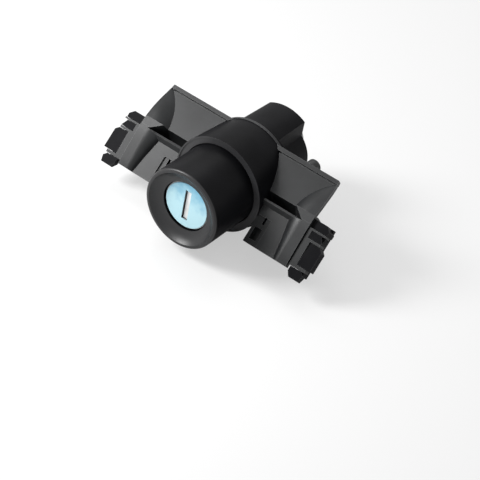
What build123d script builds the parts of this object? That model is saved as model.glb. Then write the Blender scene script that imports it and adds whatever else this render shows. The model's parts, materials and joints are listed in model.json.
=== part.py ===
from build123d import *
import os
from math import sin, cos, radians, sqrt

# Boot lock cylinder: a push-button lock in a moulded handle bracket.
# Millimetres. X runs across the bracket, Y along the lock axis towards the
# inside of the boot lid, Z up. The origin is on the lock axis, at the front
# ring of the sleeve.

# Push button
button_radius = 15.0
button_front_y = -20.5
button_rear_y = 9.5
button_rim_width = 1.4
button_dish_depth = 2.7
button_rim_round = 0.9
button_dish_bulge = (0.35, 0.38)
guide_rib_height = 0.8
guide_rib_width = 3.0
guide_rib_front_y = 3.2

# Sleeve that the button slides in
sleeve_gap = 0.33
sleeve_front_wall = 2.67
sleeve_rear_wall = 1.57
sleeve_rear_y = 19.0
sleeve_ring_step = 0.5
sleeve_ring_recess = 0.35
guide_gap = 0.2
seal_y = 1.8
seal_section_radius = 0.55
seal_groove_depth = 1.15
seal_groove_width = 1.3

# Bracket plate, seen from the side: two sloping fields with a groove between
upper_corner = (6.57, 4.28)
upper_slope = 38.5
upper_length = 15.0
upper_field_length = 13.5
lower_corner = (2.86, 0.53)
lower_slope = 46.4
lower_length = 14.0
plate_half_width = 37.0
plate_wall = 1.8
strip_height = 0.5
strip_groove_width = 0.45
strip_groove_depth = 0.7

# Each row is: distance along the slope, how far the flat field stops short of the
# plate's end, how far the shoulder's top stops short of it, height of the shoulder
upper_shoulder_rows = [
    (0.0, 9.1, 3.0, 2.6),
    (4.0, 8.1, 2.2, 2.2),
    (8.4, 5.9, 1.1, 1.4),
    (11.2, 3.7, 0.5, 0.8),
    (13.5, 1.2, 0.2, 0.5),
]
lower_shoulder_rows = [
    (-2.6, 8.8, 3.4, 2.6),
    (0.0, 8.4, 3.4, 2.6),
    (5.0, 7.4, 3.5, 2.2),
    (9.6, 6.6, 3.6, 1.8),
    (14.0, 5.9, 3.7, 1.3),
]
# The plate narrows towards its top corners: distance up the slope, narrowing
corner_rows = [(4.0, 0.0), (9.0, 0.25), (12.5, 0.6), (15.0, 1.0)]

# Groove and rib between the two fields
rib_top = (2.70, 2.84)
rib_end_inset = 3.0
rib_thickness = 0.7
groove_depth = 6.0
channel_upper_end = 0.6
channel_lower_end = 2.4
channel_wall = 1.4

# Recess beside the button hole in the lower field
recess_outer_x = 23.5
recess_start = 3.4
recess_depth = 0.6
recess_window = (19.2, 22.2)
recess_window_start = 7.6
recess_slot_x = (20.8, 21.7)
recess_slot_length = 2.6
pocket_back_wall = 1.2
corner_trim_start = 8.0

# Side frames and the retaining clips that they hold. The places across are
# measured outwards from the plate's end, the others down the lower field.
frame_overlap = 1.6
frame_reach = 6.8
frame_start = -1.65
frame_end = 12.6
frame_step = 0.5
frame_front_start = 2.5
frame_front_end = 1.4
frame_back = 5.5
frame_line_width = 0.35
frame_line_height = 0.3
upper_window = (1.5, -1.0, 1.8)
lower_window = (2.9, 2.6, 11.5)
clip_clearance = 0.15
clip_spine = (3.1, 6.6)
clip_spine_depth = (3.0, 4.8)
clip_outer = 8.4
pad_fronts = (1.6, 1.1)
hook_front = 1.0
hook_length = 3.1
hook_outer = 6.9
hook_corner = 1.6
foot_front = 1.0
foot_length = 3.6
foot_outer = 7.1
foot_corner = 1.3
foot_depth = 1.5
foot_root_length = 1.3
pad_corner = 1.3

# Webs and hub behind the plate
web_x = (26.0, 32.5)
web_thickness = 1.2
hub_wall = 0.9
hub_front_y = 5.0
collar_lip = 0.3
collar_length = 1.0
boss_front_y = 9.5

# Locating peg behind the right wing
peg_position = (22.4, 9.2)
peg_radius = 2.6
peg_shoulder_radius = 3.2
peg_shoulder_gap = 0.1
peg_length = 3.4

# Rear case
case_rear_y = 37.5
case_wall = 1.8
case_flange_step = 0.4
case_flange_thickness = 1.5
case_body_radius = 12.7
case_body_drop = 2.5
case_hump_radius = 15.6
case_hump_half_width = 8.2
case_draft = 1.6
case_front_bore = 11.6
boss_outset = 3.5
boss_z = 2.0
boss_radius = 3.4
screw_radius = 1.25
screw_head_radius = 2.7
screw_head_height = 1.9
screw_length = 9.0
screw_cross_reach = 0.6
screw_cross_half_width = 0.16
screw_hole_gap = 0.15
screw_head_gap = 0.3
case_overlap = 0.5

# Lock barrel, plug and what they hold
barrel_radius = 11.0
barrel_nose_gap = 0.15
barrel_front_y = -15.2
barrel_shoulder_y = -13.3
barrel_rear_y = 12.0
barrel_key_width = 3.0
barrel_key_height = 0.9
barrel_key_front_y = 2.0
button_barrel_gap = 0.1
running_gap = 0.05
root_overlap = 0.5
plug_radius = 7.0
plug_head_gap = 0.4
plug_head_front_y = -16.95
plug_head_rear_y = -15.3
plug_rear_y = 14.2
face_disc_thickness = 0.25
face_disc_inset = 0.2
head_recess_radius = 9.3
key_slot_width = 2.5
key_slot_height = 12.0
keyway_width = 2.4
keyway_height = 9.4
keyway_end_y = 9.0
wafer_count = 6
wafer_pitch = 3.0
wafer_first_y = -9.0
wafer_thickness = 1.0
wafer_half_width = 3.3
wafer_end_radius = 6.85
wafer_travel = 0.7
wafer_gap = 0.05
wafer_lug_reach = 1.3
wafer_lug_height = 1.2
wafer_groove_radius = 8.3
wafer_groove_half_width = 3.6
wafer_spring_radius = 0.55
wafer_spring_wire = 0.1
wafer_pocket_gap = 0.15
wafer_spring_turns = 5
wafer_spring_bottom = -4.2
wafer_window_width = 2.6
wafer_windows = [(7.4, 0.3), (6.8, 0.1), (7.8, -0.1), (7.0, 0.2), (6.6, 0.0), (7.6, 0.3)]

# Shutter behind the key slot
shutter_pin_x = 2.1
shutter_pin_y = -15.85
shutter_pin_radius = 0.35
shutter_pin_half_length = 6.5
shutter_thickness = 0.5
shutter_half_height = 5.8
shutter_knuckle_radius = 0.6
shutter_knuckle_start = 2.0
shutter_spring_radius = 0.55
shutter_spring_wire = 0.1
shutter_spring_turns = 5
shutter_free_x = -0.85
shutter_spring_side_x = 1.1
shutter_pocket_half_height = 6.0
shutter_pocket_gap = 0.15
shutter_pocket_rear_y = -12.4
shutter_pocket_x = (-1.5, 2.9)

# Pusher rod, cam and their springs
rod_disc_radius = 6.6
rod_disc_thickness = 1.8
rod_radius = 4.0
rod_gap = 0.3
tang_half = 2.2
tang_length = 1.6
cam_gap = 2.1
cam_thickness = 4.2
cam_seat_depth = 1.8
cam_hub_radius = 5.4
cam_finger_radius = 2.6
cam_finger_offset = 5.6
cam_square_half = 2.5
cam_screw_head_radius = 3.0
cam_screw_head_height = 1.4
cam_screw_radius = 1.4
cam_screw_length = 7.0
spring_mean_radius = 8.0
spring_wire_radius = 0.45
spring_turns = 7
spring_seat_thickness = 0.8
spring_seat_radius = 8.5
circlip_thickness = 0.8
barrel_clip_y = 9.7
barrel_clip_outer = 12.6
barrel_clip_inner = 10.45
plug_clip_y = 12.15
plug_clip_outer = 7.45
plug_clip_inner = 6.3
clip_opening = 4.0

os.makedirs("parts", exist_ok=True)

# Values that follow from the ones above
sleeve_bore = button_radius + sleeve_gap
sleeve_front_radius = sleeve_bore + sleeve_front_wall
sleeve_rear_radius = sleeve_bore + sleeve_rear_wall
rib_reach = button_radius + guide_rib_height
boss_x = sleeve_front_radius + boss_outset
case_front_y = sleeve_rear_y
screw_seat_y = case_front_y + case_flange_thickness
peg_shoulder_y = screw_seat_y + peg_shoulder_gap
peg_rear_y = peg_shoulder_y + peg_length
cam_front_y = case_rear_y + cam_gap
rod_rear_y = cam_front_y + cam_seat_depth
barrel_nose_radius = head_recess_radius - barrel_nose_gap
plug_head_radius = head_recess_radius - plug_head_gap
face_disc_radius = plug_head_radius - face_disc_inset
rib_half_width = plate_half_width - rib_end_inset
frame_inner_x = plate_half_width - frame_overlap
frame_outer_x = plate_half_width + frame_reach
shutter_pocket_front_y = shutter_pin_y - shutter_knuckle_radius - shutter_pocket_gap
upper_dir = Vector(0, cos(radians(upper_slope)), sin(radians(upper_slope)))
upper_front = Vector(0, -sin(radians(upper_slope)), cos(radians(upper_slope)))
lower_dir = Vector(0, -cos(radians(lower_slope)), -sin(radians(lower_slope)))
lower_front = Vector(0, -sin(radians(lower_slope)), cos(radians(lower_slope)))
upper_origin = Vector(0, *upper_corner)
lower_origin = Vector(0, *lower_corner)
far = 60.0
wafer_rows = [wafer_first_y + wafer_pitch * i for i in range(wafer_count)]
upper_shoulders = [
    (along, plate_half_width - flat, plate_half_width - top, height)
    for along, flat, top, height in upper_shoulder_rows]
lower_shoulders = [
    (along, plate_half_width - flat, plate_half_width - top, height)
    for along, flat, top, height in lower_shoulder_rows]


def export(piece, name):
    piece.part.label = name
    export_step(piece.part, f"parts/{name}.step")


def upper_point(along, height):
    """Point of the side view, measured up the upper field and out of it."""
    p = upper_origin + upper_dir * along + upper_front * height
    return (p.Y, p.Z)


def lower_point(along, height):
    """Point of the side view, measured down the lower field and out of it."""
    p = lower_origin + lower_dir * along + lower_front * height
    return (p.Y, p.Z)


def slope_section(origin, direction, front, row, room):
    """Closed outline of the space in front of the plate at one height."""
    along, flat, outer, height = row
    x_dir = Vector(1, 0, 0)
    plane = Plane(origin=origin + direction * along, x_dir=x_dir, z_dir=x_dir.cross(front))
    width = outer - flat
    radius = (width * width + height * height) / (2 * height)
    edge = plate_half_width + clip_clearance
    rise = radius - sqrt(max(radius * radius - width * width / 4, 0))
    with BuildSketch(plane) as section:
        with BuildLine():
            mid = (outer - width / 2, height - rise)
            Line((-edge, height), (-outer, height))
            ThreePointArc((-outer, height), (-mid[0], mid[1]), (-flat, 0))
            Line((-flat, 0), (flat, 0))
            ThreePointArc((flat, 0), mid, (outer, height))
            Line((outer, height), (edge, height))
            Polyline((edge, height), (edge, room), (-edge, room), (-edge, height))
        make_face()
    return section.sketch


def space_in_front(origin, direction, front, rows, room=14.0):
    """Solid that fills the space in front of one sloping half of the plate."""
    with BuildPart() as space:
        loft([slope_section(origin, direction, front, row, room) for row in rows])
    return space.part


upper_space = space_in_front(upper_origin, upper_dir, upper_front, upper_shoulders)
lower_full = space_in_front(lower_origin, lower_dir, lower_front, lower_shoulders)
on_lower = Plane(origin=lower_origin, x_dir=(1, 0, 0), z_dir=-lower_front)
mouth_run = Vector(0, rib_top[0] - upper_corner[0], rib_top[1] - upper_corner[1])
mouth_width = mouth_run.length
on_mouth = Plane(origin=upper_origin, x_dir=(1, 0, 0), z_dir=Vector(1, 0, 0).cross(mouth_run))


def side_slab(outline, x_low, x_high):
    """Side-view polygon carried across from x_low to x_high."""
    with BuildPart() as slab:
        with BuildSketch(Plane.YZ.offset(x_low)):
            Polygon(*outline, align=None)
        extrude(amount=x_high - x_low)
    return slab.part


def block(x, y, z):
    """Rectangular block between two limits on each axis."""
    with BuildPart() as solid:
        with Locations(((x[0] + x[1]) / 2, (y[0] + y[1]) / 2, (z[0] + z[1]) / 2)):
            Box(x[1] - x[0], y[1] - y[0], z[1] - z[0])
    return solid.part


def turned(outline):
    """Closed outline of radius and lock-axis place, turned about the lock axis."""
    with BuildPart() as solid:
        with BuildSketch(Plane.XY):
            Polygon(*outline, align=None)
        revolve(axis=Axis.Y)
    return solid.part


def rod(radius, y_low, y_high, x=0.0, z=0.0):
    """Round rod along the lock axis."""
    with BuildPart() as solid:
        with BuildSketch(Plane.XZ.offset(-y_low)):
            with Locations((x, z)):
                Circle(radius)
        extrude(amount=y_low - y_high)
    return solid.part


def slope_block(x, along, depth):
    """Block squared to the lower field: across, down the field, and into it."""
    with BuildPart() as solid:
        with BuildSketch(on_lower.offset(depth[0])):
            with Locations(((x[0] + x[1]) / 2, (along[0] + along[1]) / 2)):
                Rectangle(x[1] - x[0], along[1] - along[0])
        extrude(amount=depth[1] - depth[0])
    return solid.part


def slope_prism(outline, depth):
    """Block with an outline drawn on the lower field, between two depths into it."""
    with BuildPart() as solid:
        with BuildSketch(on_lower.offset(depth[0])):
            Polygon(*outline, align=None)
        extrude(amount=depth[1] - depth[0])
    return solid.part


def between(a, b):
    """Two limits in rising order."""
    return (min(a, b), max(a, b))


def coil(axis_plane, radius, wire, length, turns):
    """Round-wire coil spring along the plane's normal."""
    with BuildPart() as solid:
        with BuildLine(axis_plane) as path:
            Helix(pitch=length / turns, height=length, radius=radius, direction=axis_plane.z_dir)
        with BuildSketch(Plane(origin=path.line @ 0, z_dir=path.line % 0)):
            Circle(wire)
        sweep(path=path.line, is_frenet=True)
    return solid.part


def cone_radius(y, gap=0.0):
    """Outer radius of the sleeve at one place along the axis, with a gap."""
    return sleeve_front_radius + (sleeve_rear_radius - sleeve_front_radius) * y / sleeve_rear_y + gap


# The lower space stops at the rib's front face
lower_space = lower_full - side_slab(
    [lower_corner, rib_top, (rib_top[0], far), (far, far), (far, lower_corner[1])], -far, far)

# Groove between the fields, with its slanted ends
with BuildPart() as groove_space:
    slope_end = (rib_half_width - upper_shoulders[0][1]) / mouth_width
    groove_width = mouth_width - rib_thickness
    with BuildSketch(on_mouth):
        Polygon(
            (-upper_shoulders[0][1], 0), (upper_shoulders[0][1], 0),
            (rib_half_width, mouth_width), (-rib_half_width, mouth_width), align=None)
    extrude(amount=-far / 4)
    with BuildSketch(on_mouth):
        half_end = upper_shoulders[0][1] + slope_end * groove_width
        Polygon(
            (-upper_shoulders[0][1], 0), (upper_shoulders[0][1], 0),
            (half_end, groove_width), (-half_end, groove_width), align=None)
    extrude(amount=groove_depth)

# Space for the sleeve, and in front of it the hole that the button stands in
sleeve_fit = turned([
    (0, -far / 2), (sleeve_front_radius + running_gap, -far / 2),
    (sleeve_front_radius + running_gap, 0), (cone_radius(far / 2, running_gap), far / 2), (0, far / 2)])

# Bracket: wings, groove, side frames, hub and bosses in one moulding
with BuildPart() as bracket:
    add(upper_space.moved(Location(-upper_front * plate_wall)))
    add(lower_full.moved(Location(-lower_front * plate_wall)))
    add(lower_full, mode=Mode.SUBTRACT)
    add(block((-plate_half_width, plate_half_width), (-far, far), (-far, far)), mode=Mode.INTERSECT)
    # Strip along the top edge
    add(side_slab(
        [upper_point(upper_field_length, -plate_wall), upper_point(upper_field_length, strip_height),
         upper_point(upper_length, strip_height), upper_point(upper_length, -plate_wall)],
        -plate_half_width, plate_half_width))
    # Channel block behind the groove and the rib
    add(side_slab(
        [upper_point(channel_upper_end, -plate_wall / 2), upper_point(0, upper_shoulders[0][3]),
         lower_point(0, lower_shoulders[1][3]), lower_point(channel_lower_end, -plate_wall / 2),
         lower_point(channel_lower_end, -plate_wall),
         lower_point(channel_upper_end, -groove_depth - channel_wall),
         upper_point(channel_upper_end, -groove_depth - channel_wall)],
        -plate_half_width, plate_half_width))
    # Top corners, where the plate narrows
    for side in (-1, 1):
        with BuildSketch(Plane(origin=upper_origin, x_dir=(1, 0, 0), z_dir=upper_front)):
            rim = [(side * (plate_half_width - narrowing), along) for along, narrowing in corner_rows]
            Polygon(*rim, (side * far, corner_rows[-1][0]), (side * far, corner_rows[0][0]), align=None)
        extrude(amount=far / 4, both=True, mode=Mode.SUBTRACT)
    # Bottom skirt, back of the pockets and stiffening webs behind the fields
    add(side_slab(
        [lower_point(lower_length - plate_wall, -plate_wall / 2),
         lower_point(lower_length, -plate_wall / 2),
         lower_point(lower_length, -frame_back), lower_point(lower_length - plate_wall, -frame_back)],
        -frame_inner_x, frame_inner_x))
    add(slope_block((-web_x[0], web_x[0]), (0, lower_length), (frame_back - pocket_back_wall, frame_back)))
    for x in web_x:
        for side in (-1, 1):
            low = side * x - web_thickness / 2
            add(side_slab(
                [lower_point(0, -plate_wall / 2), lower_point(lower_length - 1, -plate_wall / 2),
                 lower_point(lower_length - 1, -frame_back), lower_point(0, -groove_depth)],
                low, low + web_thickness))
            add(side_slab(
                [upper_point(0, -plate_wall / 2), upper_point(upper_length - 1, -plate_wall / 2),
                 upper_point(upper_length - 1, -plate_wall - web_thickness / 2),
                 upper_point(0, -groove_depth)],
                low, low + web_thickness))
    # Hub round the sleeve, screw bosses and the webs that carry them
    add(rod(cone_radius(0, hub_wall), hub_front_y, sleeve_rear_y))
    for side in (-1, 1):
        add(rod(boss_radius, boss_front_y, sleeve_rear_y, side * boss_x, boss_z))
        span = sorted((side * (sleeve_front_radius - boss_radius / 2), side * boss_x))
        add(block(span, (boss_front_y, sleeve_rear_y), (boss_z - web_thickness, boss_z + web_thickness)))
    # Nothing of the hub shows above the top strip but a thin lip at its rear end
    lip = rod(sleeve_rear_radius + collar_lip, sleeve_rear_y - collar_length, sleeve_rear_y)
    strip_back = upper_point(upper_length, -plate_wall)
    add(side_slab(
        [upper_point(upper_field_length, strip_height), upper_point(upper_length, strip_height),
         strip_back, (far, strip_back[1]), (far, far), upper_point(upper_field_length, far)],
        -far, far) - lip, mode=Mode.SUBTRACT)
    add(rod(peg_shoulder_radius, boss_front_y, peg_shoulder_y, *peg_position))
    add(rod(peg_radius, boss_front_y, peg_rear_y, *peg_position))
    # Side frames that carry the retaining clips
    for side in (-1, 1):
        span = sorted((side * frame_inner_x, side * frame_outer_x))
        add(side_slab(
            [lower_point(frame_start, frame_front_start - frame_step),
             lower_point(frame_end, frame_front_end - frame_step),
             lower_point(frame_end, -frame_back), lower_point(frame_start, -frame_back)], *span))
        for inner, start, end in (upper_window, lower_window):
            add(slope_block(between(side * (plate_half_width + inner), side * far), (start, end),
                            (-far / 10, far / 5)), mode=Mode.SUBTRACT)
        track = between(side * (plate_half_width + clip_spine[0] - clip_clearance), side * far)
        add(slope_block(track, (-far / 2, far / 2), (clip_spine_depth[0] - clip_clearance, far / 5)),
            mode=Mode.SUBTRACT)
        line = between(side * plate_half_width, side * (plate_half_width + frame_line_width))
        add(slope_block(line, (-far, frame_end), (-far / 10, -frame_line_height)), mode=Mode.SUBTRACT)
    # Clear the front, then the groove, the sleeve's seat and the recesses
    add(upper_space, mode=Mode.SUBTRACT)
    add(lower_space, mode=Mode.SUBTRACT)
    add(groove_space.part, mode=Mode.SUBTRACT)
    add(side_slab(
        [upper_point(upper_field_length - strip_groove_width, -strip_groove_depth),
         upper_point(upper_field_length - strip_groove_width, strip_height),
         upper_point(upper_field_length, strip_height),
         upper_point(upper_field_length, -strip_groove_depth)],
        -plate_half_width + plate_wall, plate_half_width - plate_wall), mode=Mode.SUBTRACT)
    add(sleeve_fit, mode=Mode.SUBTRACT)
    for side in (-1, 1):
        add(slope_block(sorted((side * button_radius, side * recess_outer_x)),
                        (recess_start, lower_length + 1), (-1, recess_depth)), mode=Mode.SUBTRACT)
        # The plate's thin corner beside the button is cut square
        add(slope_block(between(0, side * sleeve_front_radius), (corner_trim_start, lower_length + 1),
                        (-1, frame_back + 1)), mode=Mode.SUBTRACT)
        add(slope_block(sorted((side * recess_window[0], side * recess_window[1])),
                        (recess_window_start, lower_length - plate_wall), (-1, plate_wall + 1)),
            mode=Mode.SUBTRACT)
        add(slope_block(sorted((side * recess_slot_x[0], side * recess_slot_x[1])),
                        (recess_start, recess_start + recess_slot_length), (-1, plate_wall + 1)),
            mode=Mode.SUBTRACT)
        add(rod(screw_radius + running_gap, sleeve_rear_y - screw_length, far, side * boss_x, boss_z),
            mode=Mode.SUBTRACT)
export(bracket, "bracket")


# Retaining clips: a spine behind each side frame, with pads in its windows
def clip_piece(side):
    """One retaining clip, on the side of the bracket given by 1 or -1."""
    gap = clip_clearance
    end = plate_half_width

    def outline(*points):
        return [(side * (end + out), along) for out, along in points]

    with BuildPart() as clip:
        top = frame_start - gap - hook_length
        root_end = frame_end + gap + foot_root_length
        spine = between(side * (end + clip_spine[0]), side * (end + clip_spine[1]))
        add(slope_block(spine, (top, root_end), clip_spine_depth))
        # Pads in the two windows, with their outer corners cut
        for (inner, start, stop), front in zip((upper_window, lower_window), pad_fronts):
            low = start + gap
            high = stop - gap
            slant = pad_corner if inner == lower_window[0] else high - low
            reach = clip_outer if inner == lower_window[0] else hook_outer
            add(slope_prism(outline(
                (inner + gap, low), (reach - pad_corner, low), (reach, low + slant),
                (reach, high), (inner + gap, high)), (-front, clip_spine_depth[0] - gap)))
            add(slope_block(spine, (low, high), (0, clip_spine_depth[1])))
        # Hook above the frame
        stop = frame_start - gap
        add(slope_prism(outline(
            (gap, stop), (gap, top), (hook_outer - hook_corner, top),
            (hook_outer, top + hook_corner), (hook_outer, stop)), (-hook_front, clip_spine_depth[1])))
        # Foot below the frame, on a short root
        start = frame_end + gap
        bottom = start + foot_length
        add(slope_block(spine, (start, root_end), (0, clip_spine_depth[1])))
        add(slope_prism(outline(
            (foot_corner, start), (foot_outer - foot_corner, start), (foot_outer, start + foot_corner),
            (foot_outer - foot_corner / 2, bottom), (foot_corner * 2, bottom),
            (foot_corner, start + foot_length / 2)), (-foot_front, foot_depth)))
    return clip


retaining_clip_right = clip_piece(1)
export(retaining_clip_right, "retaining_clip_right")
retaining_clip_left = clip_piece(-1)
export(retaining_clip_left, "retaining_clip_left")

# Sleeve with a stepped front ring, a seal groove and two guide grooves
with BuildPart() as hood_sleeve:
    ring_inner = sleeve_front_radius - sleeve_ring_step
    add(turned([
        (sleeve_bore, sleeve_ring_recess), (ring_inner, sleeve_ring_recess), (ring_inner, 0),
        (sleeve_front_radius, 0), (sleeve_rear_radius, sleeve_rear_y), (sleeve_bore, sleeve_rear_y)]))
    add(turned([
        (sleeve_bore - 1, seal_y - seal_groove_width / 2),
        (sleeve_bore + seal_groove_depth, seal_y - seal_groove_width / 2),
        (sleeve_bore + seal_groove_depth, seal_y + seal_groove_width / 2),
        (sleeve_bore - 1, seal_y + seal_groove_width / 2)]), mode=Mode.SUBTRACT)
    for side in (-1, 1):
        add(block(between(0, side * (rib_reach + guide_gap)),
                  (guide_rib_front_y - guide_gap, far),
                  (-guide_rib_width / 2 - guide_gap, guide_rib_width / 2 + guide_gap)), mode=Mode.SUBTRACT)
export(hood_sleeve, "hood_sleeve")

with BuildPart() as sleeve_seal:
    ring_radius = button_radius + sleeve_gap + seal_section_radius
    with BuildSketch(Plane.XY):
        with Locations((ring_radius, seal_y)):
            Circle(seal_section_radius)
    revolve(axis=Axis.Y)
export(sleeve_seal, "sleeve_seal")

# Push button: dished front, round outside, two guide ribs
with BuildPart() as push_button:
    barrel_room = barrel_radius + button_barrel_gap
    rim_inner = button_radius - button_rim_width
    dish_back = button_front_y + button_dish_depth
    with BuildSketch(Plane.XY):
        with BuildLine():
            Line((barrel_room, button_rear_y), (button_radius, button_rear_y))
            Line((button_radius, button_rear_y), (button_radius, button_front_y + button_rim_round))
            RadiusArc((button_radius, button_front_y + button_rim_round),
                      (button_radius - button_rim_round, button_front_y), button_rim_round)
            Line((button_radius - button_rim_round, button_front_y), (rim_inner, button_front_y))
            ThreePointArc((rim_inner, button_front_y),
                          ((rim_inner + head_recess_radius) / 2 + button_dish_bulge[0],
                           dish_back - button_dish_depth * button_dish_bulge[1]),
                          (head_recess_radius, dish_back))
            Polyline((head_recess_radius, dish_back), (head_recess_radius, barrel_shoulder_y),
                     (barrel_room, barrel_shoulder_y), (barrel_room, button_rear_y))
        make_face()
    revolve(axis=Axis.Y)
    for side in (-1, 1):
        root = button_radius - root_overlap
        add(block(between(side * root, side * rib_reach), (guide_rib_front_y, button_rear_y),
                  (-guide_rib_width / 2, guide_rib_width / 2)))
    add(block((-barrel_key_width / 2 - button_barrel_gap, barrel_key_width / 2 + button_barrel_gap),
              (barrel_key_front_y - button_barrel_gap, button_rear_y + 1),
              (0, barrel_radius + barrel_key_height + button_barrel_gap)), mode=Mode.SUBTRACT)
export(push_button, "push_button")

# Lock barrel: fixed in the button, with grooves that the wafers lock into
with BuildPart() as lock_barrel:
    bore = plug_radius + running_gap
    clip_root = barrel_clip_inner - running_gap
    clip_rear = barrel_clip_y + circlip_thickness + running_gap
    add(turned([
        (bore, barrel_front_y), (barrel_nose_radius, barrel_front_y),
        (barrel_nose_radius, barrel_shoulder_y + running_gap),
        (barrel_radius, barrel_shoulder_y + running_gap),
        (barrel_radius, barrel_clip_y - running_gap), (clip_root, barrel_clip_y - running_gap),
        (clip_root, clip_rear), (barrel_radius, clip_rear),
        (barrel_radius, barrel_rear_y), (bore, barrel_rear_y)]))
    add(block((-barrel_key_width / 2, barrel_key_width / 2), (barrel_key_front_y, button_rear_y),
              (barrel_radius - root_overlap, barrel_radius + barrel_key_height)))
    groove_start = wafer_rows[0] - wafer_thickness
    groove_end = wafer_rows[-1] + wafer_thickness
    add(block((-wafer_groove_half_width, wafer_groove_half_width), (groove_start, groove_end),
              (-wafer_groove_radius, wafer_groove_radius)), mode=Mode.SUBTRACT)
    add(block((-wafer_groove_radius, wafer_groove_radius), (groove_start, groove_end),
              (-wafer_groove_half_width, wafer_groove_half_width)), mode=Mode.SUBTRACT)
export(lock_barrel, "lock_barrel")


def ring_clip(inner, outer, y, opening_angle):
    """Open spring clip round the lock axis."""
    with BuildPart() as clip:
        with BuildSketch(Plane.XZ.offset(-y)):
            Circle(outer)
            Circle(inner, mode=Mode.SUBTRACT)
            with Locations(Location((0, 0), opening_angle)):
                with Locations((outer, 0)):
                    Rectangle(2 * (outer - inner / 2), clip_opening, mode=Mode.SUBTRACT)
        extrude(amount=-circlip_thickness)
    return clip


barrel_circlip = ring_clip(barrel_clip_inner, barrel_clip_outer, barrel_clip_y, 0)
export(barrel_circlip, "barrel_circlip")
plug_circlip = ring_clip(plug_clip_inner, plug_clip_outer, plug_clip_y, 90)
export(plug_circlip, "plug_circlip")

# Plug: head, shank, keyway, shutter pocket, wafer slots and spring pockets
slot_half = wafer_thickness / 2 + wafer_gap
lug_outer = wafer_half_width + wafer_lug_reach
pocket_wall_x = lug_outer + wafer_pocket_gap
pocket_half = wafer_spring_radius + wafer_spring_wire + wafer_pocket_gap
lug_top = wafer_lug_height / 3
lug_bottom = lug_top - wafer_lug_height
with BuildPart() as lock_plug:
    clip_root = plug_clip_inner - running_gap
    clip_rear = plug_clip_y + circlip_thickness + running_gap
    add(turned([
        (0, plug_head_front_y), (plug_head_radius, plug_head_front_y), (plug_head_radius, plug_head_rear_y),
        (plug_radius, plug_head_rear_y), (plug_radius, plug_clip_y - running_gap),
        (clip_root, plug_clip_y - running_gap), (clip_root, clip_rear), (plug_radius, clip_rear),
        (plug_radius, plug_rear_y), (0, plug_rear_y)]))
    add(block((-tang_half, tang_half), (plug_rear_y, plug_rear_y + tang_length), (-tang_half, tang_half)))
    add(block((-key_slot_width / 2, key_slot_width / 2), (plug_head_front_y, shutter_pocket_rear_y),
              (-key_slot_height / 2, key_slot_height / 2)), mode=Mode.SUBTRACT)
    add(block(shutter_pocket_x, (shutter_pocket_front_y, shutter_pocket_rear_y),
              (-shutter_pocket_half_height, shutter_pocket_half_height)), mode=Mode.SUBTRACT)
    with BuildSketch(Plane.XY.offset(-shutter_pin_half_length)):
        with Locations((shutter_pin_x, shutter_pin_y)):
            Circle(shutter_pin_radius)
    extrude(amount=2 * shutter_pin_half_length, mode=Mode.SUBTRACT)
    add(block((-keyway_width / 2, keyway_width / 2), (shutter_pocket_rear_y, keyway_end_y),
              (-keyway_height / 2, keyway_height / 2)), mode=Mode.SUBTRACT)
    for i, y in enumerate(wafer_rows):
        flip = 1 if i % 2 == 0 else -1
        add(block((-wafer_half_width - wafer_gap, wafer_half_width + wafer_gap),
                  (y - slot_half, y + slot_half), (-far, far)), mode=Mode.SUBTRACT)
        add(block(between(0, flip * pocket_wall_x), (y - pocket_half, y + pocket_half),
                  between(flip * wafer_spring_bottom, flip * (lug_top + wafer_travel + wafer_pocket_gap))),
            mode=Mode.SUBTRACT)
export(lock_plug, "lock_plug")

# Pale disc on the plug's face
with BuildPart() as face_disc:
    add(rod(face_disc_radius, plug_head_front_y - face_disc_thickness, plug_head_front_y))
    chamfer(face_disc.edges().filter_by(GeomType.CIRCLE).sort_by(Axis.Y)[0], face_disc_thickness / 3)
    add(block((-key_slot_width / 2, key_slot_width / 2), (-far, far),
              (-key_slot_height / 2, key_slot_height / 2)), mode=Mode.SUBTRACT)
export(face_disc, "face_disc")


# Wafers and their springs, turned over at every second place
def wafer_piece(y, flip, window_height, window_rise):
    """Flat wafer with a key window and a lug for its spring."""
    plane = Plane(origin=(0, y + wafer_thickness / 2, 0), x_dir=(1, 0, 0), z_dir=(0, -1, 0))
    with BuildPart() as wafer:
        with BuildSketch(plane):
            Circle(wafer_end_radius)
            Rectangle(2 * wafer_half_width, 2 * wafer_end_radius + 1, mode=Mode.INTERSECT)
            with Locations((flip * (lug_outer + wafer_half_width) / 2, flip * (lug_top + lug_bottom) / 2)):
                Rectangle(wafer_lug_reach, wafer_lug_height)
            with Locations((0, window_rise)):
                Rectangle(wafer_window_width, window_height, mode=Mode.SUBTRACT)
        extrude(amount=wafer_thickness)
    return wafer


def wafer_spring_piece(y, flip):
    """Small coil spring that pushes on one wafer's lug."""
    x = (wafer_half_width + wafer_gap + pocket_wall_x) / 2
    wire = wafer_spring_wire
    length = lug_bottom - wafer_spring_bottom - 2 * wire - 2 * wafer_gap
    base = Plane(origin=(flip * x, y, flip * (wafer_spring_bottom + wire + wafer_gap)),
                 x_dir=(flip, 0, 0), z_dir=(0, 0, flip))
    with BuildPart() as spring:
        add(coil(base, wafer_spring_radius, wire, length, wafer_spring_turns))
    return spring


for i, y in enumerate(wafer_rows):
    flip = 1 if i % 2 == 0 else -1
    height, rise = wafer_windows[i]
    export(wafer_piece(y, flip, height, flip * rise), f"wafer_{i + 1}")
    export(wafer_spring_piece(y, flip), f"wafer_spring_{i + 1}")

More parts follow.
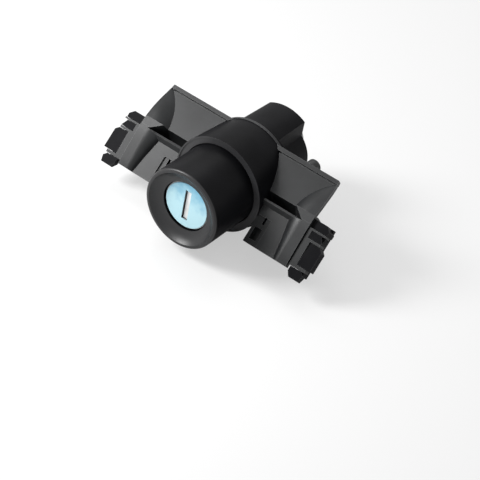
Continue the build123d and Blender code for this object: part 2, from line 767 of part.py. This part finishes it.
# Shutter flap, its pin and its spring
with BuildPart() as slot_shutter:
    plate_front = shutter_pin_y - shutter_knuckle_radius
    add(block((shutter_free_x, shutter_spring_side_x), (plate_front, plate_front + shutter_thickness),
              (-shutter_half_height, shutter_half_height)))
    for side in (-1, 1):
        span = between(side * shutter_knuckle_start, side * shutter_half_height)
        add(block((shutter_free_x, shutter_pin_x), (plate_front, plate_front + shutter_thickness), span))
        with BuildSketch(Plane.XY.offset(span[0])):
            with Locations((shutter_pin_x, shutter_pin_y)):
                Circle(shutter_knuckle_radius)
        extrude(amount=span[1] - span[0])
    with BuildSketch(Plane.XY.offset(-shutter_pin_half_length)):
        with Locations((shutter_pin_x, shutter_pin_y)):
            Circle(shutter_pin_radius + running_gap)
    extrude(amount=2 * shutter_pin_half_length, mode=Mode.SUBTRACT)
export(slot_shutter, "slot_shutter")

with BuildPart() as shutter_pin:
    with BuildSketch(Plane.XY.offset(-shutter_pin_half_length)):
        with Locations((shutter_pin_x, shutter_pin_y)):
            Circle(shutter_pin_radius)
    extrude(amount=2 * shutter_pin_half_length)
export(shutter_pin, "shutter_pin")

with BuildPart() as shutter_spring:
    reach = shutter_knuckle_start - 2 * shutter_spring_wire - button_barrel_gap
    add(coil(Plane(origin=(shutter_pin_x, shutter_pin_y, -reach), z_dir=(0, 0, 1)),
             shutter_spring_radius, shutter_spring_wire, 2 * reach, shutter_spring_turns))
export(shutter_spring, "shutter_spring")

# Pusher rod behind the plug, its cam and the cam's screw
with BuildPart() as pusher_rod:
    add(rod(rod_disc_radius, plug_rear_y, plug_rear_y + rod_disc_thickness + tang_length))
    add(rod(rod_radius, plug_rear_y, cam_front_y))
    add(block((-cam_square_half, cam_square_half), (cam_front_y - 1, rod_rear_y),
              (-cam_square_half, cam_square_half)))
    tang_room = tang_half + running_gap
    add(block((-tang_room, tang_room), (plug_rear_y - 1, plug_rear_y + tang_length + running_gap),
              (-tang_room, tang_room)), mode=Mode.SUBTRACT)
    add(rod(cam_screw_radius + running_gap, rod_rear_y - cam_screw_length, far), mode=Mode.SUBTRACT)
export(pusher_rod, "pusher_rod")

with BuildPart() as pusher_cam:
    with BuildSketch(Plane.XZ.offset(-cam_front_y)):
        Circle(cam_hub_radius)
        with Locations((0, -cam_finger_offset)):
            Circle(cam_finger_radius)
        Polygon((-cam_hub_radius, 0), (cam_hub_radius, 0), (cam_finger_radius, -cam_finger_offset),
                (-cam_finger_radius, -cam_finger_offset), align=None)
    extrude(amount=-cam_thickness)
    square_room = cam_square_half + running_gap
    add(block((-square_room, square_room), (cam_front_y - 1, rod_rear_y + running_gap),
              (-square_room, square_room)), mode=Mode.SUBTRACT)
    add(rod(cam_screw_radius + running_gap, cam_front_y, far), mode=Mode.SUBTRACT)
export(pusher_cam, "pusher_cam")


def cross_screw(x, z, seat_y, head_radius, head_height, radius, length):
    """Cross-headed screw that goes in along the lock axis from behind."""
    with BuildPart() as screw:
        add(rod(head_radius, seat_y, seat_y + head_height, x, z))
        add(rod(radius, seat_y - length, seat_y + head_height / 2, x, z))
        rear = screw.edges().filter_by(GeomType.CIRCLE).sort_by(Axis.Y)[-1]
        fillet(rear, head_height / 3)
        arm = head_radius * screw_cross_reach
        slot = head_radius * screw_cross_half_width
        depth = (seat_y + head_height / 2, seat_y + head_height + 1)
        add(block((x - arm, x + arm), depth, (z - slot, z + slot)), mode=Mode.SUBTRACT)
        add(block((x - slot, x + slot), depth, (z - arm, z + arm)), mode=Mode.SUBTRACT)
    return screw.part


with BuildPart() as cam_screw:
    add(cross_screw(0, 0, cam_front_y + cam_thickness, cam_screw_head_radius, cam_screw_head_height,
                    cam_screw_radius, cam_screw_length))
export(cam_screw, "cam_screw")


# Rear case: drafted body with a raised hump, screwed to the bracket's bosses
def case_outline(shrink):
    """Round body with a hump on top, smaller all round by shrink."""
    with BuildSketch() as outline:
        Circle(case_hump_radius - shrink)
        with Locations((0, case_hump_radius)):
            Rectangle(2 * (case_hump_half_width - shrink), 2 * case_hump_radius, mode=Mode.INTERSECT)
        with Locations((0, -case_body_drop)):
            Circle(case_body_radius - shrink)
    return outline.sketch


with BuildPart() as rear_case:
    with BuildSketch(Plane.XZ.offset(-case_front_y)):
        Circle(sleeve_rear_radius - case_flange_step)
        for side in (-1, 1):
            with Locations((side * boss_x, boss_z)):
                Circle(boss_radius)
            with Locations((side * boss_x / 2, boss_z)):
                Rectangle(boss_x, 2 * boss_radius)
    extrude(amount=-case_flange_thickness)
    with BuildSketch(Plane.XZ.offset(-screw_seat_y + case_overlap)):
        add(case_outline(0))
    extrude(amount=screw_seat_y - case_rear_y - case_overlap, taper=case_draft)
    with BuildSketch(Plane.XZ.offset(-case_front_y)):
        add(case_outline(case_wall))
    extrude(amount=case_front_y - case_rear_y + case_wall, taper=case_draft, mode=Mode.SUBTRACT)
    add(rod(case_front_bore, case_front_y - 1, screw_seat_y), mode=Mode.SUBTRACT)
    add(rod(rod_radius + rod_gap, case_front_y, far), mode=Mode.SUBTRACT)
    for side in (-1, 1):
        add(rod(screw_radius + screw_hole_gap, case_front_y - 1, screw_seat_y + 1, side * boss_x, boss_z),
            mode=Mode.SUBTRACT)
        add(rod(screw_head_radius + screw_head_gap, screw_seat_y, screw_seat_y + 2 * screw_head_height,
                side * boss_x, boss_z), mode=Mode.SUBTRACT)
export(rear_case, "rear_case")

with BuildPart() as case_screws:
    for side in (-1, 1):
        add(cross_screw(side * boss_x, boss_z, screw_seat_y, screw_head_radius, screw_head_height,
                        screw_radius, screw_length))
export(case_screws, "case_screws")

# Return spring and the washer it bears on
with BuildPart() as spring_seat:
    seat_rear = case_rear_y - case_wall
    add(rod(spring_seat_radius, seat_rear - spring_seat_thickness, seat_rear))
    add(rod(rod_radius + rod_gap, case_front_y, seat_rear + 1), mode=Mode.SUBTRACT)
export(spring_seat, "spring_seat")

with BuildPart() as return_spring:
    start = barrel_rear_y + spring_wire_radius + running_gap
    end = case_rear_y - case_wall - spring_seat_thickness - spring_wire_radius - running_gap
    add(coil(Plane(origin=(0, start, 0), x_dir=(1, 0, 0), z_dir=(0, 1, 0)),
             spring_mean_radius, spring_wire_radius, end - start, spring_turns))
export(return_spring, "return_spring")
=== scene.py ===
import json
from math import cos, pi, sin

import bmesh
import bpy
from mathutils import Matrix, Vector


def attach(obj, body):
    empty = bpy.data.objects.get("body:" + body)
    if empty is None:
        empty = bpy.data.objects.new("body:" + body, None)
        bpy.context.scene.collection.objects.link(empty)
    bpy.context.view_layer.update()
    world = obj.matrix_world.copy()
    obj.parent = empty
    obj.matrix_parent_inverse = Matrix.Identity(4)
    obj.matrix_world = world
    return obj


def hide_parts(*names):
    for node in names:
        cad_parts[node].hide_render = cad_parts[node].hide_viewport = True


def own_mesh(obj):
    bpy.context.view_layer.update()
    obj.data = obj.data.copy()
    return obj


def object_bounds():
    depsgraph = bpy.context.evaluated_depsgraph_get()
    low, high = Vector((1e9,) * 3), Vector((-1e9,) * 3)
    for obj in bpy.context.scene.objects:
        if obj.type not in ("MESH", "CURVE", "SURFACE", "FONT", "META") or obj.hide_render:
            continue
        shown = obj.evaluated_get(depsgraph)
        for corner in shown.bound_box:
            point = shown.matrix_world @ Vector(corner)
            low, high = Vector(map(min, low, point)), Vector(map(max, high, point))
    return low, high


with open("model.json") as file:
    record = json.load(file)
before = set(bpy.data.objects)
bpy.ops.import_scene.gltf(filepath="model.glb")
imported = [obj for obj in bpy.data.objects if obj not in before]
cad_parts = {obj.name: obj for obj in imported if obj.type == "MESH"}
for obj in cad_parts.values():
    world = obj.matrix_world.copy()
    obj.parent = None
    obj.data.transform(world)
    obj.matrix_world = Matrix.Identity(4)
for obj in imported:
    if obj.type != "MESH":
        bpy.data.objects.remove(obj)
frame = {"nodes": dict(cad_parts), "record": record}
cad_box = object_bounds()
nodes = frame["nodes"]
MM = 0.001

# Camera, at the angle that the object is seen from
CAMERA_PLACE = Vector((253.56, -420.20, 376.01)) * MM
CAMERA_DOWN = Vector((0.4854, -0.4324, -0.7599))
CAMERA_AHEAD = Vector((-0.3855, 0.6743, -0.6299))
LENS_MM = 135.0
SENSOR_MM = 36.0
CAMERA_NEAR = 0.01
CAMERA_FAR = 20

# Studio
WHITE = (1, 1, 1, 1)
DOWN = Vector((0, 0, -1))
FLOOR_SIZE = 8
FLOOR_COLOUR = (0.90, 0.90, 0.90, 1)
FLOOR_ROUGHNESS = 0.9
FLOOR_GAP = 0.4 * MM
# An even colour that only the camera sees mixed into the floor, and its share
FLOOR_SEEN = (0.97, 0.97, 0.97, 1)
FLOOR_SEEN_SHARE = 0.5
SKY_LEVEL = 0.40
# Each lamp is: name, place, aimed at, side length, watts, with lengths in metres
LAMPS = [
    ("overhead_softbox", (-0.22, 0.28, 0.52), (0, 0.02, 0), 0.40, 1.2),
    ("left_softbox", (-0.228, -0.174, 0.208), (-0.02, 0, 0), 0.13, 1.5),
]

# Colours, as linear values
BRACKET_DARK = (0.006, 0.0065, 0.007)
BRACKET_LIGHT = (0.015, 0.016, 0.017)
# Edge colour: partly wear and partly a painted highlight on sharp edges
BRACKET_WEAR_AND_HIGHLIGHT = (0.16, 0.16, 0.165)
HOOD_DARK = (0.002, 0.002, 0.0025)
HOOD_LIGHT = (0.005, 0.005, 0.006)
# Edge colour: partly wear and partly a painted highlight on sharp edges
HOOD_WEAR_AND_HIGHLIGHT = (0.07, 0.07, 0.072)
# Faces that look forward: a lighter colour, which is painted light, and their gleam
HOOD_FRONT_PAINTED_LIGHT_AND_GLEAM = ((0.026, 0.026, 0.028), 0.46)
BUTTON_FRONT_PAINTED_LIGHT_AND_GLEAM = ((0.007, 0.007, 0.008), 0.44)
CLIP_DARK = (0.004, 0.004, 0.005)
CLIP_LIGHT = (0.008, 0.008, 0.009)
BLUE_DEEP = (0.11, 0.36, 0.52)
BLUE_PALE = (0.42, 0.65, 0.72)
STEEL_DARK = (0.36, 0.36, 0.36)
STEEL_LIGHT = (0.62, 0.62, 0.61)
PALE_STEEL = (0.80, 0.81, 0.82)
ZINC_DARK = (0.22, 0.22, 0.22)
ZINC_LIGHT = (0.40, 0.40, 0.40)
BRASS_DARK = (0.45, 0.30, 0.10)
BRASS_LIGHT = (0.70, 0.52, 0.22)

# Lighter edges, partly wear and partly a painted highlight: the radius of the rounded normal, its dot
# product with the plain normal where the mark starts and where it is full, and how much finer the
# scuffs are than the tone
EDGE_RADIUS = 0.25 * MM
EDGE_WEAR_AND_HIGHLIGHT_RANGE = (0.98, 0.86)
SCUFF_FINER = 12
# Detail of the noise in the tone, the scuffs and the grain
TONE_DETAIL = 6
SCUFF_DETAIL = 4
GRAIN_DETAIL = 3
# Uneven tone: where the ramp between its two colours starts and ends
TONE_RAMP = (0.35, 0.65)
# Grain: how far the roughness goes below and above its level, and the bump's strength
ROUGHNESS_SPREAD = (-0.06, 0.08)
BUMP_STRENGTH = 0.6
# Y of the normal, below 0 towards the front, where the painted light and extra gleam of forward faces
# start and are full
FRONT_PAINTED_LIGHT_TURN = (-0.10, -0.45)
# Pale face: how far its shading runs up and down, where its ramp starts and ends, and
# the share of noise in it against height
FACE_RADIUS = 8.7 * MM
FACE_RAMP = (0.50, 0.80)
FACE_NOISE_SHARE = 0.45

# Return spring: the coil's size, its run along the lock axis, and its steps in a turn and sides of the
# wire
SPRING_RADIUS = 8.0 * MM
SPRING_WIRE = 0.45 * MM
SPRING_TURNS = 7
SPRING_RUN = (12.5 * MM, 34.4 * MM)
SPRING_STEPS = 48
SPRING_SIDES = 12


def node_at(tree, kind, place, **inputs):
    """A shader node of one kind, drawn at a place, with its constant sockets set."""
    made = tree.nodes.new(kind)
    made.location = place
    for name, value in inputs.items():
        made.inputs[name.replace("_", " ")].default_value = value
    return made


def noise_at(tree, coordinates, place, scale, detail):
    """Noise that is fixed to the piece."""
    made = node_at(tree, "ShaderNodeTexNoise", place, Scale=scale, Detail=detail)
    tree.links.new(coordinates.outputs["Object"], made.inputs["Vector"])
    return made.outputs["Fac"]


def ramp_at(tree, source, place, low, high):
    """A ramp between two colours that is driven by a value."""
    made = node_at(tree, "ShaderNodeValToRGB", place)
    for stop, position, colour in zip(made.color_ramp.elements, TONE_RAMP, (low, high)):
        stop.position = position
        stop.color = (*colour, 1)
    tree.links.new(source, made.inputs["Fac"])
    return made.outputs["Color"]


def range_at(tree, source, place, start=(0, 1), end=(0, 1)):
    """A value carried over from one range to another."""
    made = node_at(tree, "ShaderNodeMapRange", place, From_Min=start[0], From_Max=start[1],
                   To_Min=end[0], To_Max=end[1])
    tree.links.new(source, made.inputs["Value"])
    return made.outputs["Result"]


def math_at(tree, operation, place, first, second):
    """The result of one operation on two values."""
    made = node_at(tree, "ShaderNodeMath", place)
    made.operation = operation
    tree.links.new(first, made.inputs[0])
    tree.links.new(second, made.inputs[1])
    return made.outputs["Value"]


def tint_at(tree, place, before, tint, share):
    """A colour that gives way to a tint by a share."""
    made = node_at(tree, "ShaderNodeMix", place)
    made.data_type = "RGBA"
    made.inputs["B"].default_value = (*tint, 1)
    tree.links.new(share, made.inputs["Factor"])
    tree.links.new(before, made.inputs["A"])
    return made.outputs["Result"]


def edge_mask(tree, place):
    """1 on a sharp edge and 0 on a flat, from how far a rounded normal turns away."""
    rounded = node_at(tree, "ShaderNodeBevel", place, Radius=EDGE_RADIUS)
    geometry = node_at(tree, "ShaderNodeNewGeometry", (place[0], place[1] - 160))
    across = node_at(tree, "ShaderNodeVectorMath", (place[0] + 180, place[1]))
    across.operation = "DOT_PRODUCT"
    tree.links.new(rounded.outputs["Normal"], across.inputs[0])
    tree.links.new(geometry.outputs["Normal"], across.inputs[1])
    return range_at(tree, across.outputs["Value"], (place[0] + 360, place[1]), start=EDGE_WEAR_AND_HIGHLIGHT_RANGE)


def moulded(name, dark, light, edge, rough, grain, depth, patch=90.0, metallic=0.0, gleam=0.5,
            front=None):
    """Moulded or cast material with grain, uneven tone and lighter edges, partly wear and partly
    painted highlight.
    """
    made = bpy.data.materials.new(name)
    made.use_nodes = True
    tree = made.node_tree
    shader = tree.nodes["Principled BSDF"]
    shader.inputs["Metallic"].default_value = metallic
    shader.inputs["Specular IOR Level"].default_value = gleam
    where = node_at(tree, "ShaderNodeTexCoord", (-1500, 0))
    tone = noise_at(tree, where, (-1300, 300), patch, TONE_DETAIL)
    colour = ramp_at(tree, tone, (-1100, 300), dark, light)
    # Lighter edges, partly wear and partly a painted highlight
    if edge is not None:
        mask = edge_mask(tree, (-1300, 650))
        scuff = noise_at(tree, where, (-1100, 820), patch * SCUFF_FINER, SCUFF_DETAIL)
        share = math_at(tree, "MULTIPLY", (-880, 700), mask, scuff)
        colour = tint_at(tree, (-700, 350), colour, edge, share)
    tree.links.new(colour, shader.inputs["Base Color"])
    # Forward faces get a lighter colour, which is painted light, and more gleam
    if front is not None:
        paint_front_light_and_gleam(tree, where, shader, gleam, *front)
    fine = noise_at(tree, where, (-1300, -100), grain, GRAIN_DETAIL)
    roughness = range_at(tree, fine, (-900, -100), end=[rough + part for part in ROUGHNESS_SPREAD])
    tree.links.new(roughness, shader.inputs["Roughness"])
    bump = node_at(tree, "ShaderNodeBump", (-700, -350), Strength=BUMP_STRENGTH, Distance=depth)
    tree.links.new(fine, bump.inputs["Height"])
    tree.links.new(bump.outputs["Normal"], shader.inputs["Normal"])
    return made


def paint_front_light_and_gleam(tree, where, shader, gleam, tone, front_gleam):
    """A lighter colour that is painted light, and more gleam, on the faces that look forward along the
    lock axis.
    """
    parts = node_at(tree, "ShaderNodeSeparateXYZ", (-500, 900))
    tree.links.new(where.outputs["Normal"], parts.inputs[0])
    share = range_at(tree, parts.outputs["Y"], (-320, 900), start=FRONT_PAINTED_LIGHT_TURN)
    before = shader.inputs["Base Color"].links[0].from_socket
    # The lighter colour on forward faces is painted light
    colour = tint_at(tree, (-140, 700), before, tone, share)
    tree.links.new(colour, shader.inputs["Base Color"])
    level = range_at(tree, share, (-140, 1000), end=(gleam, front_gleam))
    tree.links.new(level, shader.inputs["Specular IOR Level"])


def mottled_face(name):
    """Pale blue face, bluer towards its top, with soft marks."""
    made = moulded(name, BLUE_PALE, BLUE_DEEP, None, rough=0.45, grain=1800, depth=0.02 * MM,
                   patch=300.0)
    tree = made.node_tree
    where = next(node for node in tree.nodes if node.bl_idname == "ShaderNodeTexCoord")
    ramp = next(node for node in tree.nodes if node.bl_idname == "ShaderNodeValToRGB")
    for stop, position in zip(ramp.color_ramp.elements, FACE_RAMP):
        stop.position = position
    tone = ramp.inputs["Fac"].links[0].from_socket
    parts = node_at(tree, "ShaderNodeSeparateXYZ", (-1300, 1100))
    tree.links.new(where.outputs["Object"], parts.inputs[0])
    height = range_at(tree, parts.outputs["Z"], (-1120, 1100), start=(-FACE_RADIUS, FACE_RADIUS))
    mixed = node_at(tree, "ShaderNodeMix", (-940, 1100), Factor=FACE_NOISE_SHARE)
    tree.links.new(height, mixed.inputs["A"])
    tree.links.new(tone, mixed.inputs["B"])
    tree.links.new(mixed.outputs["Result"], ramp.inputs["Fac"])
    return made


def coil_mesh(name, radius, wire, run, turns, steps, sides):
    """Closed round wire wound about the lock axis."""
    count = turns * steps
    length = run[1] - run[0]
    points = []
    for step in range(count + 1):
        angle = 2 * pi * step / steps
        out = Vector((cos(angle), 0, -sin(angle)))
        along = run[0] + length * step / count
        rise = Vector((-sin(angle) * radius, length / (2 * pi * turns), -cos(angle) * radius))
        across = rise.normalized().cross(out)
        for side in range(sides):
            turn = 2 * pi * side / sides
            points.append(out * (radius + wire * cos(turn)) + across * (wire * sin(turn))
                          + Vector((0, along, 0)))
    faces = [tuple(reversed(range(sides))), tuple(range(count * sides, (count + 1) * sides))]
    for step in range(count):
        here = step * sides
        ahead = here + sides
        for side in range(sides):
            beside = (side + 1) % sides
            faces.append((here + side, here + beside, ahead + beside, ahead + side))
    mesh = bpy.data.meshes.new(name)
    mesh.from_pydata(points, [], faces)
    fix = bmesh.new()
    fix.from_mesh(mesh)
    bmesh.ops.recalc_face_normals(fix, faces=fix.faces)
    fix.to_mesh(mesh)
    fix.free()
    mesh.polygons.foreach_set("use_smooth", [len(face.vertices) == 4 for face in mesh.polygons])
    return mesh


def add_return_spring():
    """Coil of wire about the lock axis, fixed to the housing."""
    mesh = coil_mesh("return_spring_coil", SPRING_RADIUS, SPRING_WIRE, SPRING_RUN, SPRING_TURNS,
                     SPRING_STEPS, SPRING_SIDES)
    made = bpy.data.objects.new("return_spring_coil", mesh)
    bpy.context.scene.collection.objects.link(made)
    mesh.materials.append(materials["spring_steel"])
    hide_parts("return_spring")
    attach(made, "housing")
    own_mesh(made)


def look_along(place, ahead, down):
    """World matrix of something that looks along one direction."""
    back = -ahead.normalized()
    up = -down.normalized()
    right = up.cross(back).normalized()
    up = back.cross(right)
    turn = Matrix((right, up, back)).transposed()
    return Matrix.Translation(place) @ turn.to_4x4()


def add_camera():
    """Camera of the main view."""
    data = bpy.data.cameras.new("camera")
    data.lens = LENS_MM
    data.sensor_width = SENSOR_MM
    data.clip_start = CAMERA_NEAR
    data.clip_end = CAMERA_FAR
    made = bpy.data.objects.new("camera", data)
    bpy.context.scene.collection.objects.link(made)
    made.matrix_world = look_along(CAMERA_PLACE, CAMERA_AHEAD, CAMERA_DOWN)
    bpy.context.scene.camera = made


def add_floor(height):
    """Level floor at one height, which is no piece of the object."""
    bpy.ops.mesh.primitive_plane_add(size=FLOOR_SIZE, location=(0, 0, height))
    made = bpy.context.object
    made.name = "floor"
    made.data.materials.append(plain_floor())


def plain_floor():
    """Pale floor that the camera sees nearer to white, with a fainter shadow."""
    made = bpy.data.materials.new("pale_floor")
    made.use_nodes = True
    tree = made.node_tree
    shader = tree.nodes["Principled BSDF"]
    shader.inputs["Base Color"].default_value = FLOOR_COLOUR
    shader.inputs["Roughness"].default_value = FLOOR_ROUGHNESS
    seen = node_at(tree, "ShaderNodeEmission", (0, -300), Strength=1.0, Color=FLOOR_SEEN)
    path = node_at(tree, "ShaderNodeLightPath", (-400, 300))
    share = node_at(tree, "ShaderNodeMath", (-200, 300))
    share.operation = "MULTIPLY"
    share.inputs[1].default_value = FLOOR_SEEN_SHARE
    tree.links.new(path.outputs["Is Camera Ray"], share.inputs[0])
    mixed = node_at(tree, "ShaderNodeMixShader", (300, 0))
    tree.links.new(share.outputs["Value"], mixed.inputs["Fac"])
    tree.links.new(shader.outputs["BSDF"], mixed.inputs[1])
    tree.links.new(seen.outputs["Emission"], mixed.inputs[2])
    tree.links.new(mixed.outputs["Shader"], tree.nodes["Material Output"].inputs["Surface"])
    return made


def add_lamp(name, place, target, side, watts):
    """Square soft lamp that is aimed at a point."""
    data = bpy.data.lights.new(name, "AREA")
    data.size = side
    data.energy = watts
    made = bpy.data.objects.new(name, data)
    bpy.context.scene.collection.objects.link(made)
    ahead = Vector(target) - Vector(place)
    made.matrix_world = look_along(Vector(place), ahead, DOWN)


def add_sky():
    """Even pale light, which the camera sees as white, also in gleams and through glass."""
    world = bpy.data.worlds.new("sky")
    bpy.context.scene.world = world
    world.use_nodes = True
    tree = world.node_tree
    lit = tree.nodes["Background"]
    lit.inputs["Strength"].default_value = SKY_LEVEL
    lit.inputs["Color"].default_value = WHITE
    seen = node_at(tree, "ShaderNodeBackground", (0, -200), Strength=1.0, Color=WHITE)
    path = node_at(tree, "ShaderNodeLightPath", (-600, 200))
    shown = path.outputs["Is Camera Ray"]
    for other in ("Is Glossy Ray", "Is Transmission Ray"):
        shown = math_at(tree, "MAXIMUM", (-300, 200), shown, path.outputs[other])
    chosen = node_at(tree, "ShaderNodeMixShader", (300, 0))
    tree.links.new(shown, chosen.inputs["Fac"])
    tree.links.new(lit.outputs["Background"], chosen.inputs[1])
    tree.links.new(seen.outputs["Background"], chosen.inputs[2])
    tree.links.new(chosen.outputs["Shader"], tree.nodes["World Output"].inputs["Surface"])


materials = {
    "bracket_plastic": moulded("bracket_grained_plastic", BRACKET_DARK, BRACKET_LIGHT, BRACKET_WEAR_AND_HIGHLIGHT,
                               rough=0.42, grain=2600, depth=0.02 * MM, gleam=0.30),
    # The hood and the button carry painted light in the colour of their forward faces
    "hood_plastic": moulded("hood_smooth_plastic", HOOD_DARK, HOOD_LIGHT, HOOD_WEAR_AND_HIGHLIGHT,
                            rough=0.42, grain=3600, depth=0.012 * MM, gleam=0.06, front=HOOD_FRONT_PAINTED_LIGHT_AND_GLEAM),
    "button_plastic": moulded("button_smooth_plastic", HOOD_DARK, HOOD_LIGHT, HOOD_WEAR_AND_HIGHLIGHT,
                              rough=0.40, grain=3600, depth=0.012 * MM, gleam=0.07, front=BUTTON_FRONT_PAINTED_LIGHT_AND_GLEAM),
    "case_plastic": moulded("case_smooth_plastic", HOOD_DARK, HOOD_LIGHT, HOOD_WEAR_AND_HIGHLIGHT,
                            rough=0.44, grain=3200, depth=0.015 * MM, gleam=0.06),
    "clip_plastic": moulded("clip_black_plastic", CLIP_DARK, CLIP_LIGHT, HOOD_WEAR_AND_HIGHLIGHT,
                            rough=0.46, grain=3000, depth=0.02 * MM, gleam=0.035),
    "seal_rubber": moulded("seal_black_rubber", CLIP_DARK, CLIP_LIGHT, None,
                           rough=0.80, grain=2400, depth=0.03 * MM),
    "face_paint": mottled_face("face_mottled_blue"),
    "shutter_steel": moulded("shutter_pale_steel", STEEL_LIGHT, PALE_STEEL, None,
                             rough=0.35, grain=2600, depth=0.01 * MM, metallic=0.1),
    "lock_metal": moulded("lock_cast_zinc", ZINC_DARK, ZINC_LIGHT, STEEL_LIGHT,
                          rough=0.48, grain=2200, depth=0.03 * MM, metallic=0.9),
    "spring_steel": moulded("spring_bright_steel", STEEL_DARK, STEEL_LIGHT, None,
                            rough=0.30, grain=3000, depth=0.01 * MM, metallic=1.0),
    "screw_steel": moulded("screw_plated_steel", STEEL_DARK, STEEL_LIGHT, PALE_STEEL,
                           rough=0.36, grain=2600, depth=0.015 * MM, metallic=1.0),
    "wafer_brass": moulded("wafer_rolled_brass", BRASS_DARK, BRASS_LIGHT, None,
                           rough=0.34, grain=2600, depth=0.01 * MM, metallic=1.0),
}

for subpart in frame["record"]["subparts"]:
    piece = nodes[subpart["node"]]
    piece.data.materials.clear()
    piece.data.materials.append(materials[subpart["material_slot"]])

add_return_spring()
add_camera()
add_floor(cad_box[0].z - FLOOR_GAP)
for lamp in LAMPS:
    add_lamp(*lamp)
add_sky()
bpy.context.scene.view_settings.view_transform = "Standard"
